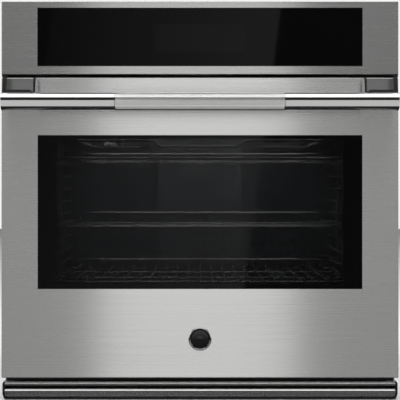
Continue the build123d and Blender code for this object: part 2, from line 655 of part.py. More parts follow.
def make_blower():
    floor = SHELF_Z + SHEET
    mouth = BLOWER_Y - BLOWER_RADIUS - 20
    top = floor + BLOWER_HEIGHT + 12
    with BuildPart() as housing:
        with BuildSketch(Plane.XY.offset(floor)):
            with Locations((0, BLOWER_Y)):
                Circle(BLOWER_RADIUS + 14)
            with Locations((0, (mouth + SHEET + BLOWER_Y) / 2)):
                Rectangle(116, BLOWER_Y - mouth - SHEET)
        extrude(amount=top - floor)
        with BuildSketch(Plane.XY.offset(floor + SHEET)):
            with Locations((0, BLOWER_Y)):
                Circle(BLOWER_RADIUS + 14 - SHEET)
            with Locations((0, (mouth - 8 + BLOWER_Y) / 2)):
                Rectangle(116 - 2 * SHEET, BLOWER_Y - mouth + 8)
        extrude(amount=top - floor - 2 * SHEET, mode=Mode.SUBTRACT)
        rod((0, BLOWER_Y, top - 3), (0, 0, 1), 6, BLOWER_RADIUS - 16, Mode.SUBTRACT)
        with Locations((0, BLOWER_Y, top)):
            with PolarLocations(BLOWER_RADIUS - 2, 4, start_angle=45):
                Cylinder(3, 8, align=(Align.CENTER, Align.CENTER, Align.MIN))
    save(housing.part, "blower_housing")

    with BuildPart() as wheel:
        low = floor + 6
        rod((0, BLOWER_Y, low), (0, 0, 1), 1.5, BLOWER_RADIUS)
        rod((0, BLOWER_Y, low), (0, 0, 1), 22, 9)
        rod((0, BLOWER_Y, low), (0, 0, 1), top + 30 - low, SHAFT_RADIUS)
        with BuildSketch(Plane.XY.offset(low)):
            with Locations((0, BLOWER_Y)):
                with PolarLocations(BLOWER_RADIUS - 7, 24):
                    Rectangle(13, 1.2, rotation=40)
        extrude(amount=BLOWER_HEIGHT - 1.5)
        with BuildSketch(Plane.XY.offset(low + BLOWER_HEIGHT - 1.5)):
            with Locations((0, BLOWER_Y)):
                Circle(BLOWER_RADIUS)
                Circle(BLOWER_RADIUS - 14, mode=Mode.SUBTRACT)
        extrude(amount=1.5)
    save(wheel.part, "blower_wheel")

    with BuildPart() as motor:
        seat = top + 8
        rod((0, BLOWER_Y, seat), (0, 0, 1), 42, 32)
        with BuildSketch(Plane.XY.offset(seat)):
            with Locations((0, BLOWER_Y)):
                with PolarLocations((BLOWER_RADIUS + 4) / 2, 4, start_angle=45):
                    SlotOverall(BLOWER_RADIUS + 10, 14)
        extrude(amount=2)
        rod((0, BLOWER_Y, seat - 1), (0, 0, 1), 34, SHAFT_RADIUS + RUN_FIT, Mode.SUBTRACT)
    save(motor.part, "blower_motor")


def make_control_board():
    floor = SHELF_Z + SHEET
    x0, y0 = -PANEL_X + 30, 40
    with BuildPart() as board:
        block((x0, x0 + 150), (y0, y0 + 170), (floor + 8, floor + 9.6))
        with Locations((x0 + 75, y0 + 85, floor)):
            with GridLocations(130, 150, 2, 2):
                Cylinder(3, 8.5, align=(Align.CENTER, Align.CENTER, Align.MIN))
        with Locations((x0 + 32, y0 + 85, floor + 9)):
            with GridLocations(1, 36, 1, 4):
                Box(30, 24, 20, align=(Align.CENTER, Align.CENTER, Align.MIN))
        with Locations((x0 + 80, y0 + 60, floor + 9)):
            Box(36, 44, 34, align=(Align.CENTER, Align.CENTER, Align.MIN))
        with Locations((x0 + 125, y0 + 85, floor + 9)):
            with GridLocations(1, 30, 1, 5):
                Cylinder(8, 24, align=(Align.CENTER, Align.CENTER, Align.MIN))
    save(board.part, "control_board")


def make_junction_box():
    x, z = CONDUIT_AT
    floor = SHELF_Z + SHEET
    box_x, box_y, box_z = (x - 55, x + 55), (REAR_INNER_Y - 90, REAR_INNER_Y), (floor, floor + 82)
    with BuildPart() as junction_box:
        block(box_x, box_y, box_z)
        block(
            (box_x[0] + SHEET, box_x[1] - SHEET),
            (box_y[0] + SHEET, box_y[1] - SHEET),
            (box_z[0] + SHEET, box_z[1] - SHEET),
            Mode.SUBTRACT,
        )
        rod((x, REAR_INNER_Y - 3, z), (0, 1, 0), 6, CONDUIT_RADIUS, Mode.SUBTRACT)
        rod((x, box_y[0] - 1, z), (0, 1, 0), 4, 8, Mode.SUBTRACT)
        # terminal block on the floor of the box
        block((x - 34, x + 34), (box_y[0] + 20, box_y[0] + 44), (box_z[0] + SHEET, box_z[0] + 20))
    save(junction_box.part, "junction_box")


def make_latch():
    x, y = LATCH_AT
    drop = SHELF_Z
    with BuildPart() as motor:
        block((x - 30, x + 30), (y - 22, y + 40), (LATCH_Z + 5, drop))
        rod((x, y, LATCH_Z - 4), (0, 0, 1), 10, 4)
        rod((x, y, LATCH_Z - 4), (0, 0, 1), 2.2, 6.5)
    save(motor.part, "latch_motor")

    # drawn locked, with the hook behind the door's inner panel, then swung to its parked place
    reach = y - DOOR_BACK_Y
    with BuildPart() as locked:
        with BuildSketch(Plane.XY.offset(LATCH_Z - 1.5)):
            Circle(8)
            with BuildLine():
                Polyline(
                    (-3, 0),
                    (-3, -reach - 5.5),
                    (-12, -reach - 5.5),
                    (-12, -reach - 9.5),
                    (3, -reach - 9.5),
                    (3, 0),
                    close=True,
                )
            make_face()
            Circle(4 + RUN_FIT, mode=Mode.SUBTRACT)
        extrude(amount=3)
    hook = locked.part.rotate(Axis.Z, 75).translate((x, y, 0))
    save(hook, "latch_hook")


def make_door_switch():
    x, z = SWITCH_AT
    with BuildPart() as switch:
        block((x - 14, x + 14), (FRAME_BACK_Y, FRAME_BACK_Y + 24), (z - 9, z + 9))
        rod((x, FRAME_BACK_Y - 1, z), (0, 1, 0), 17, 3 + RUN_FIT, Mode.SUBTRACT)
        block((x - 5, x - 3), (FRAME_BACK_Y + 24, FRAME_BACK_Y + 32), (z - 4, z + 4))
        block((x + 3, x + 5), (FRAME_BACK_Y + 24, FRAME_BACK_Y + 32), (z - 4, z + 4))
    save(switch.part, "door_switch")

    with BuildPart() as plunger:
        tip = DOOR_BACK_Y + REST_GAP
        rod((x, tip, z), (0, 1, 0), 17, 3)
        fillet(plunger.faces().sort_by(Axis.Y)[0].edges(), 1.2)
    save(plunger.part, "switch_plunger")


# ------------------------------------------------------------------ control console
PANEL_GLASS_X = HALF - 68.5
PANEL_GLASS_Z = (FASCIA_Z + 15.6, HEIGHT - 12.4)


def make_console():
    back = FRAME_Y - 0.5
    with BuildPart() as fascia:
        block((-HALF, HALF), (FACE_Y, back), (FASCIA_Z, HEIGHT))
        fillet(fascia.faces().sort_by(Axis.Y)[0].edges(), 1.5)
        block(
            (-HALF + SHEET, HALF - SHEET),
            (FACE_Y + SHEET, back + 1),
            (FASCIA_Z + SHEET, HEIGHT - SHEET),
            Mode.SUBTRACT,
        )
        block((-PANEL_GLASS_X, PANEL_GLASS_X), (FACE_Y - 1, FACE_Y + 3), PANEL_GLASS_Z, Mode.SUBTRACT)
    save(fascia.part, "control_fascia")

    glass_back = FACE_Y + SHEET + GLASS
    with BuildPart() as glass:
        block(
            (-PANEL_GLASS_X - GLASS_LAP, PANEL_GLASS_X + GLASS_LAP),
            (FACE_Y + SHEET, glass_back),
            (PANEL_GLASS_Z[0] - GLASS_LAP, PANEL_GLASS_Z[1] + GLASS_LAP),
        )
    save(glass.part, "panel_glass")

    with BuildPart() as bracket:
        plate_z = (FASCIA_Z + 6, BODY_TOP_Z - 2)
        block((-HALF + 40, HALF - 40), (FRAME_Y - SHEET, FRAME_Y), plate_z)
        for side in sides():
            wing = span(side * (HALF - 40), side * (HALF - 40 - SHEET))
            block(wing, (FACE_Y + SHEET, FRAME_Y), plate_z)
        for x, z in console_screw_points():
            rod((x, FRAME_Y - 3, z), (0, 1, 0), 5, SCREW_RADIUS + SCREW_FIT, Mode.SUBTRACT)
        # harness opening behind the display
        block((-30, 30), (FRAME_Y - 3, FRAME_Y + 1), (FASCIA_Z + 60, FASCIA_Z + 84), Mode.SUBTRACT)
    save(bracket.part, "console_bracket")

    with BuildPart() as display:
        centre_z = (PANEL_GLASS_Z[0] + PANEL_GLASS_Z[1]) / 2
        block((-87, 87), (glass_back, glass_back + 8), (centre_z - 27, centre_z + 27))
        block((-150, 150), (glass_back + 8, glass_back + 9.6), (centre_z - 40, centre_z + 40))
        with Locations((0, glass_back + 9, centre_z)):
            with Locations(*[(x, 0, z) for x in (-135, 135) for z in (-32, 32)]):
                Cylinder(
                    3,
                    FRAME_Y - SHEET - glass_back - 9,
                    rotation=(-90, 0, 0),
                    align=(Align.CENTER, Align.CENTER, Align.MIN),
                )
        block((-20, 20), (glass_back + 9, glass_back + 17), (centre_z - 8, centre_z + 8))
    save(display.part, "display_module")


# ------------------------------------------------------------------ door
def hinge_cuts():
    """Slots that let the fixed hinge arms sweep from the door's back to its bottom edge."""
    for side in sides():
        block(
            (side * HINGE_X - ARM_THICK, side * HINGE_X + ARM_THICK),
            (PIVOT_Y - ARM_HEIGHT / 2 - 2, DOOR_BACK_Y + 1),
            (DOOR_Z - 1, PIVOT_Z + ARM_HEIGHT / 2 + 2.5),
            Mode.SUBTRACT,
        )


def screw_points():
    """Handle screws, two through the skin into each post."""
    x = (POST_IN_X + POST_OUT_X) / 2
    return [(side * x, z) for side in sides() for z in (HANDLE_Z - 7, HANDLE_Z + 18)]


def make_door_skin():
    back = DOOR_BACK_Y - 11
    with BuildPart() as skin:
        block((-HALF, HALF), (FACE_Y, back), (DOOR_Z, DOOR_TOP_Z))
        fillet(skin.faces().sort_by(Axis.Y)[0].edges(), 1.5)
        block(
            (-HALF + SHEET, HALF - SHEET),
            (FACE_Y + SHEET, back + 1),
            (DOOR_Z + SHEET, DOOR_TOP_Z - SHEET),
            Mode.SUBTRACT,
        )
        block((-WINDOW_X, WINDOW_X), (FACE_Y - 1, FACE_Y + 3), WINDOW_Z, Mode.SUBTRACT)
        hinge_cuts()
        for x, z in screw_points():
            rod((x, FACE_Y - 1, z), (0, 1, 0), 4, 2.5 + SCREW_FIT, Mode.SUBTRACT)
    save(skin.part, "door_skin")


def make_door_liner():
    fit = SHEET + REST_GAP
    x, z = HALF - fit, (DOOR_Z + fit, DOOR_TOP_Z - fit)
    front = DOOR_BACK_Y - 19.5
    with BuildPart() as liner:
        block((-x, x), (front, DOOR_BACK_Y), z)
        block(
            (-x + SHEET, x - SHEET),
            (front - 1, DOOR_BACK_Y - SHEET),
            (z[0] + SHEET, z[1] - SHEET),
            Mode.SUBTRACT,
        )
        block((-VIEW_X, VIEW_X), (DOOR_BACK_Y - 3, DOOR_BACK_Y + 1), VIEW_Z, Mode.SUBTRACT)
        hinge_cuts()
        # the latch hook reaches in through this slot
        block(
            (LATCH_AT[0] - 6, LATCH_AT[0] + 54),
            (DOOR_BACK_Y - 3, DOOR_BACK_Y + 1),
            (LATCH_Z - 4, LATCH_Z + 4),
            Mode.SUBTRACT,
        )
    save(liner.part, "door_liner")


def make_door_glass():
    lap = GLASS_LAP
    outer_back = FACE_Y + SHEET + GLASS
    inside = DOOR_BACK_Y - SHEET
    outer_x, outer_z = WINDOW_X + lap, (WINDOW_Z[0] - lap, WINDOW_Z[1] + lap)
    with BuildPart() as outer_glass:
        block((-outer_x, outer_x), (FACE_Y + SHEET, outer_back), outer_z)
    save(outer_glass.part, "door_outer_glass")

    wall = 1.5
    ring_x, ring_z = outer_x + 2, (outer_z[0] - 2, outer_z[1] + 2)
    shelf_y = outer_back + 13
    with BuildPart() as retainer:
        block((-ring_x, ring_x), (outer_back, inside), ring_z)
        block(
            (-ring_x + wall, ring_x - wall),
            (outer_back - 1, inside + 1),
            (ring_z[0] + wall, ring_z[1] - wall),
            Mode.SUBTRACT,
        )
        block((-ring_x, ring_x), (shelf_y, shelf_y + wall), ring_z)
        block(
            (-VIEW_X, VIEW_X),
            (shelf_y - 1, shelf_y + wall + 1),
            VIEW_Z,
            Mode.SUBTRACT,
        )
        # a front lip bears on the outer glass
        block((-ring_x, ring_x), (outer_back, outer_back + wall), ring_z)
        block(
            (-ring_x + 10, ring_x - 10),
            (outer_back - 1, outer_back + 3),
            (ring_z[0] + 10, ring_z[1] - 10),
            Mode.SUBTRACT,
        )
    save(retainer.part, "glass_retainer")

    fit = wall + REST_GAP
    with BuildPart() as middle_glass:
        block(
            (-ring_x + fit, ring_x - fit),
            (shelf_y + wall, shelf_y + wall + GLASS),
            (ring_z[0] + fit, ring_z[1] - fit),
        )
    save(middle_glass.part, "door_middle_glass")

    with BuildPart() as inner_glass:
        block((-ring_x + fit, ring_x - fit), (inside - GLASS, inside), (ring_z[0] + fit, ring_z[1] - fit))
    save(inner_glass.part, "door_inner_glass")


def make_badge():
    with BuildPart() as badge:
        with BuildSketch(Plane(origin=(0, FACE_Y, DOOR_Z + 74), x_dir=(1, 0, 0), z_dir=(0, -1, 0))):
            Circle(BADGE_RADIUS)
        extrude(amount=3)
        fillet(badge.faces().sort_by(Axis.Y)[0].edges(), 1)
    save(badge.part, "door_badge")


def make_handle():
    with BuildPart() as bar:
        rod((-POST_IN_X, HANDLE_Y, HANDLE_Z), (1, 0, 0), 2 * POST_IN_X, BAR_RADIUS)
        # turned down under the sleeve
        with BuildSketch(Plane(origin=(-SLEEVE_LENGTH / 2, HANDLE_Y, HANDLE_Z), z_dir=(1, 0, 0))):
            Circle(BAR_RADIUS + 1)
            Circle(SLEEVE_BORE - RUN_FIT, mode=Mode.SUBTRACT)
        extrude(amount=SLEEVE_LENGTH, mode=Mode.SUBTRACT)
        for side in sides():
            rod((side * POST_IN_X, HANDLE_Y, HANDLE_Z), (side, 0, 0), 20, 9)
    save(bar.part, "handle_bar")

    with BuildPart() as sleeve:
        half = SLEEVE_LENGTH / 2 - 0.1
        rod((-half, HANDLE_Y, HANDLE_Z), (1, 0, 0), 2 * half, HANDLE_RADIUS)
        chamfer(sleeve.edges(), 0.6)
        rod((-half - 1, HANDLE_Y, HANDLE_Z), (1, 0, 0), 2 * half + 2, SLEEVE_BORE, Mode.SUBTRACT)
    save(sleeve.part, "handle_sleeve")


def make_handle_post(side, name):
    """Casting that ends the bar and carries it, with a stepped pocket in its top."""
    x_in, x_out = side * POST_IN_X, side * POST_OUT_X
    brow = HANDLE_Y + 11
    with BuildPart() as post:
        with BuildSketch(Plane(origin=(x_in, 0, 0), x_dir=(0, side, 0), z_dir=(side, 0, 0))):
            with BuildLine():
                Polyline(
                    (side * FACE_Y, POST_Z),
                    (side * FACE_Y, POST_TOP_Z),
                    (side * brow, POST_TOP_Z),
                    (side * (HANDLE_Y + 2), HANDLE_Z + 15),
                    (side * HANDLE_Y, HANDLE_Z),
                    (side * (HANDLE_Y + 6), HANDLE_Z - 12),
                    close=True,
                )
            make_face()
        extrude(amount=POST_OUT_X - POST_IN_X)
        rod((x_in, HANDLE_Y, HANDLE_Z), (side, 0, 0), POST_OUT_X - POST_IN_X, BAR_RADIUS)
        # pocket between the two cheeks, deeper beside the inner one
        ledge_z = HANDLE_Z + BAR_RADIUS + 6
        block(
            span(side * (POST_IN_X + 10.4), side * (POST_OUT_X - 8)),
            (HANDLE_Y - 20, FACE_Y - 2.5),
            (ledge_z, POST_TOP_Z + 1),
            Mode.SUBTRACT,
        )
        block(
            span(side * (POST_IN_X + 4.4), side * (POST_IN_X + 10.4)),
            (HANDLE_Y - 20, FACE_Y - 2.5),
            (HANDLE_Z + BAR_RADIUS - 1, POST_TOP_Z + 1),
            Mode.SUBTRACT,
        )
        rod((x_in - side, HANDLE_Y, HANDLE_Z), (side, 0, 0), 21.3, 9 + RUN_FIT, Mode.SUBTRACT)
        for x, z in screw_points():
            if x * side > 0:
                rod((x, FACE_Y + 1, z), (0, -1, 0), 13, 2.5, Mode.SUBTRACT)
    save(post.part, name)


def make_handle_screws():
    with BuildPart() as screws:
        for x, z in screw_points():
            rod((x, FACE_Y + SHEET, z), (0, -1, 0), 11, 2.5)
            rod((x, FACE_Y + SHEET, z), (0, 1, 0), 3, 4.6)
            with BuildSketch(Plane(origin=(x, FACE_Y + SHEET + 3, z), z_dir=(0, -1, 0))):
                RegularPolygon(2, 6)
            extrude(amount=1.6, mode=Mode.SUBTRACT)
    save(screws.part, "handle_screws")


# ------------------------------------------------------------------ hinges
def make_hinges():
    low = PIVOT_Z - 8
    web_y = FACE_Y + SHEET
    wide = CHANNEL_WIDTH / 2
    with BuildPart() as channel:
        block((HINGE_X - wide, HINGE_X + wide), (web_y, PIVOT_Y + 13), (low, low + CHANNEL_HEIGHT))
        block(
            (HINGE_X - wide + CHANNEL_SHEET, HINGE_X + wide - CHANNEL_SHEET),
            (web_y + CHANNEL_SHEET, PIVOT_Y + 14),
            (low - 1, low + CHANNEL_HEIGHT + 1),
            Mode.SUBTRACT,
        )
        rod((HINGE_X - 20, PIVOT_Y, PIVOT_Z), (1, 0, 0), 40, PIVOT_PIN + RUN_FIT, Mode.SUBTRACT)
        rod((HINGE_X - wide + 1, PIVOT_Y, low + CHANNEL_HEIGHT - 8), (1, 0, 0), 2 * wide - 2, 2.5)
    save(both_sides(channel.part), "hinge_channels")

    half_arm = ARM_HEIGHT / 2
    with BuildPart() as arm:
        arm_side = (HINGE_X - ARM_THICK / 2, PIVOT_Y, PIVOT_Z)
        with BuildSketch(Plane(origin=arm_side, x_dir=(0, 1, 0), z_dir=(1, 0, 0))):
            Circle(half_arm + 1)
            with Locations((ARM_LENGTH / 2, 0)):
                Rectangle(ARM_LENGTH, ARM_HEIGHT)
        extrude(amount=ARM_THICK)
        rod((HINGE_X - wide - 0.5, PIVOT_Y, PIVOT_Z), (1, 0, 0), 2 * wide + 1, PIVOT_PIN)
        # spacer collars keep the arm in the middle of its channel
        collar = wide - CHANNEL_SHEET - REST_GAP
        rod((HINGE_X - collar, PIVOT_Y, PIVOT_Z), (1, 0, 0), 2 * collar, 6)
    save(both_sides(arm.part), "hinge_arms")

    with BuildPart() as receiver:
        depth = (FRAME_BACK_Y, PIVOT_Y + ARM_LENGTH + 6)
        block((HINGE_X - 7, HINGE_X + 7), depth, (PIVOT_Z - 12, PIVOT_Z + 12))
        block((HINGE_X - 18, HINGE_X + 18), (FRAME_BACK_Y, FRAME_BACK_Y + 2), (PIVOT_Z - 12, PIVOT_Z + 12))
        block(
            (HINGE_X - ARM_THICK / 2 - REST_GAP, HINGE_X + ARM_THICK / 2 + REST_GAP),
            (FRAME_BACK_Y - 1, PIVOT_Y + ARM_LENGTH + 2),
            (PIVOT_Z - half_arm - REST_GAP, PIVOT_Z + half_arm + REST_GAP),
            Mode.SUBTRACT,
        )
    save(both_sides(receiver.part), "hinge_receivers")

    # close-wound spring: a stack of rounded coils on one axis, with a hook rod at each end
    coil, turns = 3.2, 40
    start = PIVOT_Z + 30
    with BuildPart() as spring:
        with BuildSketch(Plane(origin=(HINGE_X, PIVOT_Y, start), x_dir=(1, 0, 0), z_dir=(0, -1, 0))):
            with BuildLine():
                Line((2.2, turns * coil), (2.2, 0))
                Line((2.2, 0), (4, 0))
                for turn in range(turns):
                    ThreePointArc((4, turn * coil), (5.4, (turn + 0.5) * coil), (4, (turn + 1) * coil))
                Line((4, turns * coil), (2.2, turns * coil))
            make_face()
        revolve(axis=Axis((HINGE_X, PIVOT_Y, 0), (0, 0, 1)))
        top_pin = PIVOT_Z - 8 + CHANNEL_HEIGHT - 8
        rod((HINGE_X, PIVOT_Y, PIVOT_Z + 8), (0, 0, 1), top_pin - 2.6 - PIVOT_Z - 8, 2.2)
    save(both_sides(spring.part), "hinge_springs")


# ------------------------------------------------------------------ vent trim
def blade_profile(z, height, nose):
    """One louvre blade: a front face under a sloping brow, and a thin web back to the plate."""
    front, back = FACE_Y + 2, FRAME_Y
    top = z + height
    with BuildLine() as outline:
        Polyline(
            (front, z),
            (front, top - BLADE_BROW),
            (front + BLADE_BROW, top),
            (front + nose, top),
            (front + nose, z),
            close=True,
        )
    make_face(outline.line)
    with Locations(((front + nose + back) / 2 - 1, z + height - 1.5)):
        Rectangle(back - front - nose + 2, 2)


def make_vent_trim():
    front = FACE_Y + 2
    x = TRIM_X - TRIM_CAP
    with BuildPart() as trim:
        with BuildSketch(Plane(origin=(-x, 0, 0), x_dir=(0, 1, 0), z_dir=(1, 0, 0))):
            blade_profile(TRIM_Z + 25.4, 6.8, 8)
            blade_profile(TRIM_Z + 11.5, 7.2, 8)
            with Locations((FRAME_Y - 1, TRIM_Z + TRIM_HEIGHT / 2)):
                Rectangle(2, TRIM_HEIGHT)
            with Locations(((front + FRAME_Y) / 2, TRIM_Z + 1)):
                Rectangle(FRAME_Y - front, 2)
            with Locations((front + 1, TRIM_Z + 1.8)):
                Rectangle(2, 3.6)
            with Locations((front + 7, TRIM_Z + 8)):
                Rectangle(2, 13)
        extrude(amount=2 * x)
        # dividers across the lower recess
        with Locations((0, front + 4, TRIM_Z + 7.8)):
            with GridLocations(61.6, 1, 13, 1):
                Box(3.6, 6, 7.6)
        # air intake through the back plate
        with Locations((0, FRAME_Y - 1, TRIM_Z + 22.7)):
            with GridLocations(114, 1, 6, 1):
                Box(100, 8, 5.5, mode=Mode.SUBTRACT)
    save(trim.part, "vent_trim")

    with BuildPart() as cap:
        with BuildSketch(Plane(origin=(0, front - 0.5, 0), x_dir=(1, 0, 0), z_dir=(0, -1, 0))):
            with BuildLine():
                Polyline(
                    (x, TRIM_Z),
                    (x + 0.8, TRIM_Z),
                    (TRIM_X, TRIM_Z + 9),
                    (TRIM_X, TRIM_TOP_Z - 4),
                    (x + 2, TRIM_TOP_Z),
                    (x, TRIM_TOP_Z),
                    close=True,
                )
            make_face()
        extrude(amount=-(FRAME_Y - front + 0.5))
    save(both_sides(cap.part), "trim_caps")


# ------------------------------------------------------------------ body screws
def console_screw_points():
    return [(side * (HALF - 62), z) for side in sides() for z in (FASCIA_Z + 20, BODY_TOP_Z - 22)]


def cover_screw_points():
    return [(side * (PANEL_X - 20), y) for side in sides() for y in (FRAME_BACK_Y + 60, REAR_INNER_Y - 60)]


def make_chassis_screws():
    """Pan-head screws: four through the console bracket into the frame, four through the top cover."""
    with BuildPart() as screws:
        for x, z in console_screw_points():
            rod((x, FRAME_Y - SHEET, z), (0, -1, 0), 1.8, 3.6)
            rod((x, FRAME_Y - SHEET, z), (0, 1, 0), 8, SCREW_RADIUS)
        for x, y in cover_screw_points():
            rod((x, y, BODY_TOP_Z), (0, 0, 1), 1.8, 3.6)
            rod((x, y, BODY_TOP_Z), (0, 0, -1), 8, SCREW_RADIUS)
    save(screws.part, "chassis_screws")


make_base_pan()
make_support_feet()
make_side_panels()
make_rear_panel()
make_top_cover()
make_front_frame()
make_mounting_rails()
make_cavity_liner()
make_insulation()
make_rack_ladders()
for rack_name in RACK_STEPS:
    make_rack(rack_name)
make_heating_elements()
make_convection_element()
make_fan_baffle()
make_fans()
make_fan_motors()
make_lamps()
make_temperature_probe()
make_door_gasket()
make_component_shelf()
make_vent_tube()
make_air_duct()
make_blower()
make_control_board()
make_junction_box()
make_latch()
make_door_switch()
make_console()
make_door_skin()
make_door_liner()
make_door_glass()
make_badge()
make_handle()
make_handle_post(-1, "handle_post_left")
make_handle_post(1, "handle_post_right")
make_handle_screws()
make_hinges()
make_vent_trim()
make_chassis_screws()
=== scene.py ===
import json
from math import cos, pi, radians, sin, tau

import bpy
from mathutils import Euler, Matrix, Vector

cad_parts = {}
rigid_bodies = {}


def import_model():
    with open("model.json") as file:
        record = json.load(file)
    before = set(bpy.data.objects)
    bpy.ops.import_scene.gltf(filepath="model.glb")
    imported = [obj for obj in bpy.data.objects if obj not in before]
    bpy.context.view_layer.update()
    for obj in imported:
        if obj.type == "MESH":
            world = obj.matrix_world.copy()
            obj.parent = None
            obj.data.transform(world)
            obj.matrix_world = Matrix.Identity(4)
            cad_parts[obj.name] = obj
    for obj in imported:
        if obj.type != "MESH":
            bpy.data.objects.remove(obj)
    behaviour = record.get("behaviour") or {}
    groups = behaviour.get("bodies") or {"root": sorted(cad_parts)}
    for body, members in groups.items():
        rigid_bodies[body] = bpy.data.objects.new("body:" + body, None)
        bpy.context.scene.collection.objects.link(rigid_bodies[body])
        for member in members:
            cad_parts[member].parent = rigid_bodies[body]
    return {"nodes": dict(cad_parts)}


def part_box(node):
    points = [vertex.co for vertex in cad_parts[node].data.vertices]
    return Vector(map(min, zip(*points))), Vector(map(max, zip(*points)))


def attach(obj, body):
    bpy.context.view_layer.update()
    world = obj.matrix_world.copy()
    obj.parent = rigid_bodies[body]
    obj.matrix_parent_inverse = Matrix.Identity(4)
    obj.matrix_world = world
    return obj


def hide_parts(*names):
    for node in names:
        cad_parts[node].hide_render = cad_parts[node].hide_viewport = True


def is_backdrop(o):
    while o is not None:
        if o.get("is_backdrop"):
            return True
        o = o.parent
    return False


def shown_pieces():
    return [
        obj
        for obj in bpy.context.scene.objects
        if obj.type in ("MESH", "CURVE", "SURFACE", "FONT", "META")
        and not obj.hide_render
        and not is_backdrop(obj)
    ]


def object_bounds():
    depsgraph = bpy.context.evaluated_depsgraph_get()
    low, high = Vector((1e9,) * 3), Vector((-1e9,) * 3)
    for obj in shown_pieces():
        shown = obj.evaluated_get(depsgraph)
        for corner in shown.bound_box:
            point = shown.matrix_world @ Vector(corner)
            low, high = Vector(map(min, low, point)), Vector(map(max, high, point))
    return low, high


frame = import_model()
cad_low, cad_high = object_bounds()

NODES = frame["nodes"]
MM = 0.001


# ------------------------------------------------------------------ shader maths
class Signal:
    """A socket in a finish's node tree. Arithmetic on signals adds Math nodes."""

    def __init__(self, finish, socket):
        self.finish = finish
        self.socket = socket

    def _math(self, operation, first, second):
        return self.finish.node("ShaderNodeMath", [first, second], operation=operation)

    def __add__(self, other):
        return self._math("ADD", self, other)

    def __radd__(self, other):
        return self._math("ADD", other, self)

    def __sub__(self, other):
        return self._math("SUBTRACT", self, other)

    def __rsub__(self, other):
        return self._math("SUBTRACT", other, self)

    def __mul__(self, other):
        return self._math("MULTIPLY", self, other)

    def __rmul__(self, other):
        return self._math("MULTIPLY", other, self)

    def __lt__(self, other):
        return self._math("LESS_THAN", self, other)

    def __gt__(self, other):
        return self._math("GREATER_THAN", self, other)

    def __abs__(self):
        return self._math("ABSOLUTE", self, 0.0)


class Finish:
    """A surface finish under construction: a material, its node tree and its shader."""

    def __init__(self, name):
        self.material = bpy.data.materials.new(name)
        self.material.use_nodes = True
        self.tree = self.material.node_tree
        self.tree.nodes.clear()
        self.output = self.tree.nodes.new("ShaderNodeOutputMaterial")
        self.shader = self.tree.nodes.new("ShaderNodeBsdfPrincipled")
        self.tree.links.new(self.shader.outputs[0], self.output.inputs[0])

    def connect(self, socket, value):
        if isinstance(value, Signal):
            self.tree.links.new(value.socket, socket)
        elif value is not None:
            socket.default_value = value

    def node(self, kind, inputs=(), out=0, **settings):
        """Adds a node: its settings first, then the values or links of its sockets."""
        made = self.tree.nodes.new(kind)
        for key, value in settings.items():
            setattr(made, key, value)
        pairs = inputs.items() if isinstance(inputs, dict) else enumerate(inputs)
        for key, value in pairs:
            self.connect(made.inputs[key], value)
        return Signal(self, made.outputs[out])

    def place(self):
        return self.node("ShaderNodeTexCoord", out="Object")

    def axes(self):
        """The place's x, y and z as three signals."""
        split = self.tree.nodes.new("ShaderNodeSeparateXYZ")
        self.connect(split.inputs[0], self.place())
        return [Signal(self, socket) for socket in split.outputs]

    def stretched(self, scale):
        return self.node("ShaderNodeMapping", {"Vector": self.place(), "Scale": scale})

    def noise(self, vector, scale=1.0, detail=3.0, roughness=0.55):
        sockets = {"Vector": vector, "Scale": scale, "Detail": detail, "Roughness": roughness}
        return self.node("ShaderNodeTexNoise", sockets)

    def blend(self, share, low, high):
        """Mixes two colours by a signal. Either colour may be a signal itself."""
        low, high = (c if isinstance(c, Signal) else (*c, 1.0) for c in (low, high))
        return self.node("ShaderNodeMix", {0: share, 6: low, 7: high}, out=2, data_type="RGBA")

    def either(self, first, second):
        """1 where at least one of two masks is 1."""
        return self.node("ShaderNodeMath", [first, second], operation="MAXIMUM")

    def bump(self, height, strength, distance):
        sockets = {"Height": height, "Strength": strength, "Distance": distance}
        return self.node("ShaderNodeBump", sockets)

    def set(self, **sockets):
        """Sets the shader's sockets; an underscore in a name stands for a space."""
        for key, value in sockets.items():
            if isinstance(value, tuple) and len(value) == 3:
                value = (*value, 1.0)
            self.connect(self.shader.inputs[key.replace("_", " ")], value)
        return self.material


# ------------------------------------------------------------------ finishes
def brushed_steel(name, tone=0.6, rough=0.3, grain=(4.0, 700.0, 700.0), spread=0.75):
    """Stainless sheet with a horizontal grain: fine stretched noise in tone, gloss and relief."""
    f = Finish(name)
    fine = f.noise(f.stretched(grain), detail=4.0)
    long_lines = f.noise(f.stretched((0.8, grain[1] * 0.35, grain[2] * 0.35)), detail=2.0)
    cloud = f.noise(f.place(), scale=3.0, detail=2.0)
    mixed = fine * 0.55 + long_lines * 0.3 + cloud * 0.15
    low, high = tone * 0.93, tone * 1.05
    return f.set(
        Base_Color=f.blend(mixed, (low, low, low * 0.985), (high, high, high * 0.99)),
        Metallic=1.0,
        Roughness=fine * 0.12 + rough,
        Anisotropic=spread,
        Anisotropic_Rotation=0.25,
        Normal=f.bump(fine, 0.08, 0.00008),
    )


def polished(name, tone=0.72, rough=0.08, warm=0.99):
    """Polished or plated metal with faint wipe marks."""
    f = Finish(name)
    smear = f.noise(f.stretched((6.0, 60.0, 60.0)), detail=3.0)
    dull = tone * 0.94
    return f.set(
        Base_Color=f.blend(smear, (dull, dull, dull * warm), (tone, tone, tone * warm)),
        Metallic=1.0,
        Roughness=smear * 0.05 + rough,
        Normal=f.bump(smear, 0.04, 0.0001),
    )


